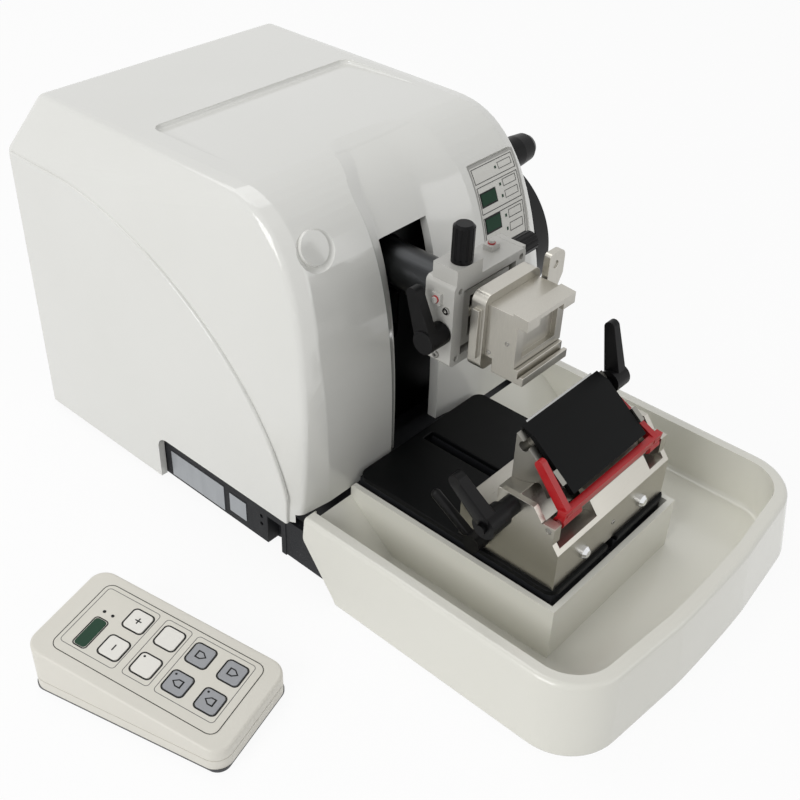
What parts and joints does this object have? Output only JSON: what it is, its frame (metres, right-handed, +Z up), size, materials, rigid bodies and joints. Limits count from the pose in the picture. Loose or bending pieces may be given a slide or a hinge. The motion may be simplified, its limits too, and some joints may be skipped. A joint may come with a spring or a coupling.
{
  "type": "rotary microtome",
  "caption": "Semi-automatic rotary microtome with stroke and feed mechanism, orientable cassette clamp, tilting knife holder, pull-off waste tray and separate control unit.",
  "frame": {"origin": "middle of the lower face of the front left rubber foot, on the bench", "axes": "+X is the operator's right, -Y faces the operator (the knife and waste tray are on that side) and +Z is up"},
  "size_m": [0.6153, 0.6176, 0.2948],
  "materials": {
    "housing": "glossy warm white",
    "charcoal": "textured charcoal paint",
    "black_plate": "satin black",
    "black_plastic": "satin black",
    "wheel_black": "satin black",
    "rear_sheet": "satin dark grey",
    "foil": "satin",
    "display": "glossy dark green",
    "foot_rubber": "matte black",
    "steel": "ground",
    "cast": "machined",
    "motor": "satin black",
    "bronze": "machined",
    "sheet_metal": "plain sheet",
    "board": "green laminate",
    "head_paint": "light grey",
    "alu": "anodised satin",
    "guard_red": "satin red",
    "screw_chrome": "polished",
    "unit_grey": "off-white",
    "unit_base": "dark grey",
    "key_white": "off-white",
    "key_grey": "mid grey"
  },
  "bodies": {
    "stand": {"base_casting": "charcoal", "knife_base_plate": "black_plate", "main_cover": "housing", "rear_panel": "rear_sheet", "rear_sockets": "black_plastic", "blank_cap": "housing", "slot_cover": "black_plate", "panel_foil": "foil", "panel_displays": "display", "rubber_feet": "foot_rubber", "guide_rods": "steel", "shaft_bearings": "steel", "power_supply": "sheet_metal", "circuit_board": "board"},
    "switch_rocker": {"power_switch": "black_plastic"},
    "tray": {"waste_tray": "housing"},
    "wheel": {"main_shaft": "steel", "crank_disc": "cast", "handwheel": "wheel_black", "grip_axle": "steel"},
    "roller": {"crank_roller": "steel"},
    "grip_sleeve": {"grip": "black_plastic"},
    "wheel_lock": {"lock_lever": "black_plastic"},
    "stroke_carriage": {"carriage": "cast", "feed_motor": "motor"},
    "feed_slide": {"feed_cylinder": "steel", "feed_nut": "bronze", "head_block": "head_paint", "zero_indicators": "alu"},
    "feed_spindle": {"feed_screw": "steel"},
    "head_clamp": {"eccentric_lever": "black_plastic"},
    "swivel_ring": {"tilt_ring": "head_paint"},
    "specimen_frame": {"adapter_frame": "alu", "clamp_body": "alu"},
    "tilt_screw": {"tilt_knob": "black_plastic"},
    "swivel_screw": {"swivel_knob": "black_plastic"},
    "jaw": {"clamp_jaw": "alu"},
    "jaw_lever": {"clamp_lever": "alu"},
    "holder": {"holder_base": "alu", "guard_pin": "steel", "holder_screws": "screw_chrome"},
    "holder_clamp": {"base_clamp_lever": "steel"},
    "knife_segment": {"segment_arc": "alu", "blade_carriage": "alu", "blade": "steel"},
    "segment_clamp": {"segment_lever": "black_plastic"},
    "plate": {"pressure_plate": "black_plate"},
    "plate_lever": {"blade_lever": "black_plastic"},
    "guard": {"finger_guard": "guard_red"},
    "control_unit": {"unit_shell": "unit_grey", "unit_underside": "unit_base", "unit_display": "display"},
    "key_plus_cap": {"key_plus": "key_white"},
    "key_minus_cap": {"key_minus": "key_white"},
    "key_set_cap": {"key_set": "key_white"},
    "key_enter_cap": {"key_enter": "key_white"},
    "key_up_slow_cap": {"key_up_slow": "key_grey"},
    "key_up_fast_cap": {"key_up_fast": "key_grey"},
    "key_down_slow_cap": {"key_down_slow": "key_grey"},
    "key_down_fast_cap": {"key_down_fast": "key_grey"}
  },
  "joints": [
    {"name": "power_rocker", "type": "hinge", "parent": "stand", "child": "switch_rocker", "pos_m": [0.025, 0.286, 0.066], "axis": [1, 0, 0], "range_deg": [-6, 6]},
    {"name": "tray_pull", "type": "slide", "parent": "stand", "child": "tray", "axis": [0, -1, 0], "range_m": [0, 0.25]},
    {"name": "handwheel_turn", "type": "hinge", "parent": "stand", "child": "wheel", "pos_m": [0.129, 0.058, 0.142], "axis": [1, 0, 0], "continuous": true},
    {"name": "crank_roller_turn", "type": "hinge", "parent": "wheel", "child": "roller", "pos_m": [0.129, 0.058, 0.177], "axis": [1, 0, 0], "continuous": true},
    {"name": "grip_turn", "type": "hinge", "parent": "wheel", "child": "grip_sleeve", "pos_m": [0.129, 0.058, 0.204], "axis": [1, 0, 0], "continuous": true},
    {"name": "wheel_lock_turn", "type": "hinge", "parent": "stand", "child": "wheel_lock", "pos_m": [0.129, -0.012, 0.1], "axis": [1, 0, 0], "range_deg": [0, 45]},
    {"name": "stroke", "type": "slide", "parent": "stand", "child": "stroke_carriage", "axis": [0, 0, 1], "range_m": [-0.07, 0]},
    {"name": "specimen_feed", "type": "slide", "parent": "stroke_carriage", "child": "feed_slide", "axis": [0, -1, 0], "range_m": [-0.018, 0.01]},
    {"name": "feed_screw_turn", "type": "hinge", "parent": "stroke_carriage", "child": "feed_spindle", "pos_m": [0.108, -0.026, 0.216], "axis": [0, 1, 0], "range_deg": [-3300, 1900]},
    {"name": "head_clamp_turn", "type": "hinge", "parent": "feed_slide", "child": "head_clamp", "pos_m": [0.108, -0.097, 0.21], "axis": [1, 0, 0], "range_deg": [0, 80]},
    {"name": "head_swivel", "type": "hinge", "parent": "feed_slide", "child": "swivel_ring", "pos_m": [0.108, -0.098, 0.216], "axis": [0, 0, 1], "range_deg": [-6.5, 6.5]},
    {"name": "head_tilt", "type": "hinge", "parent": "swivel_ring", "child": "specimen_frame", "pos_m": [0.108, -0.098, 0.216], "axis": [1, 0, 0], "range_deg": [-6.5, 6.5]},
    {"name": "tilt_knob_turn", "type": "hinge", "parent": "feed_slide", "child": "tilt_screw", "pos_m": [0.083, -0.098, 0.216], "axis": [0, 0, 1], "range_deg": [-400, 400]},
    {"name": "swivel_knob_turn", "type": "hinge", "parent": "feed_slide", "child": "swivel_screw", "pos_m": [0.108, -0.092, 0.24], "axis": [1, 0, 0], "range_deg": [-400, 400]},
    {"name": "clamp_lever_turn", "type": "hinge", "parent": "specimen_frame", "child": "jaw_lever", "pos_m": [0.1415, -0.026, 0.218], "axis": [0, 1, 0], "range_deg": [0, 35]},
    {"name": "clamp_jaw_drop", "type": "slide", "parent": "specimen_frame", "child": "jaw", "axis": [0, 0, -1], "range_m": [0, 0.004]},
    {"name": "holder_shift", "type": "slide", "parent": "stand", "child": "holder", "axis": [0, -1, 0], "range_m": [0, 0.04]},
    {"name": "holder_clamp_turn", "type": "hinge", "parent": "holder", "child": "holder_clamp", "pos_m": [0.108, -0.172, 0.08305], "axis": [1, 0, 0], "range_deg": [0, 60]},
    {"name": "knife_tilt", "type": "hinge", "parent": "holder", "child": "knife_segment", "pos_m": [0.108, -0.1755, 0.172], "axis": [1, 0, 0], "range_deg": [-5, 5]},
    {"name": "segment_clamp_turn", "type": "hinge", "parent": "holder", "child": "segment_clamp", "pos_m": [0.108, -0.194, 0.127], "axis": [1, 0, 0], "range_deg": [0, 70]},
    {"name": "blade_lever_turn", "type": "hinge", "parent": "knife_segment", "child": "plate_lever", "pos_m": [0.108, -0.1845, 0.161], "axis": [1, 0, 0], "range_deg": [0, 80]},
    {"name": "pressure_plate_lift", "type": "hinge", "parent": "knife_segment", "child": "plate", "pos_m": [0.108, -0.21268, 0.1465], "axis": [1, 0, 0], "range_deg": [0, 10.1]},
    {"name": "finger_guard_swing", "type": "hinge", "parent": "holder", "child": "guard", "pos_m": [0.108, -0.2255, 0.1215], "axis": [1, 0, 0], "range_deg": [0, 75]},
    {"name": "control_unit_lift", "type": "slide", "parent": "stand", "child": "control_unit", "axis": [0, 0, 1], "range_m": [0, 0.12]},
    {"name": "key_plus_press", "type": "slide", "parent": "control_unit", "child": "key_plus_cap", "axis": [-0.0348, 0.13, -0.9909], "range_m": [0, 0.0006], "stiffness_N_per_m": 800},
    {"name": "key_minus_press", "type": "slide", "parent": "control_unit", "child": "key_minus_cap", "axis": [-0.0348, 0.13, -0.9909], "range_m": [0, 0.0006], "stiffness_N_per_m": 800},
    {"name": "key_set_press", "type": "slide", "parent": "control_unit", "child": "key_set_cap", "axis": [-0.0348, 0.13, -0.9909], "range_m": [0, 0.0006], "stiffness_N_per_m": 800},
    {"name": "key_enter_press", "type": "slide", "parent": "control_unit", "child": "key_enter_cap", "axis": [-0.0348, 0.13, -0.9909], "range_m": [0, 0.0006], "stiffness_N_per_m": 800},
    {"name": "key_up_slow_press", "type": "slide", "parent": "control_unit", "child": "key_up_slow_cap", "axis": [-0.0348, 0.13, -0.9909], "range_m": [0, 0.0006], "stiffness_N_per_m": 800},
    {"name": "key_up_fast_press", "type": "slide", "parent": "control_unit", "child": "key_up_fast_cap", "axis": [-0.0348, 0.13, -0.9909], "range_m": [0, 0.0006], "stiffness_N_per_m": 800},
    {"name": "key_down_slow_press", "type": "slide", "parent": "control_unit", "child": "key_down_slow_cap", "axis": [-0.0348, 0.13, -0.9909], "range_m": [0, 0.0006], "stiffness_N_per_m": 800},
    {"name": "key_down_fast_press", "type": "slide", "parent": "control_unit", "child": "key_down_fast_cap", "axis": [-0.0348, 0.13, -0.9909], "range_m": [0, 0.0006], "stiffness_N_per_m": 800}
  ],
  "couplings": [
    {"joint": "feed_screw_turn", "follows": "specimen_feed", "rad_per_m": 3141.6},
    {"joint": "tilt_knob_turn", "follows": "head_tilt", "ratio": 60},
    {"joint": "swivel_knob_turn", "follows": "head_swivel", "ratio": 60},
    {"joint": "clamp_lever_turn", "follows": "clamp_jaw_drop", "rad_per_m": 152.28},
    {"joint": "pressure_plate_lift", "follows": "blade_lever_turn", "ratio": 0.125}
  ]
}
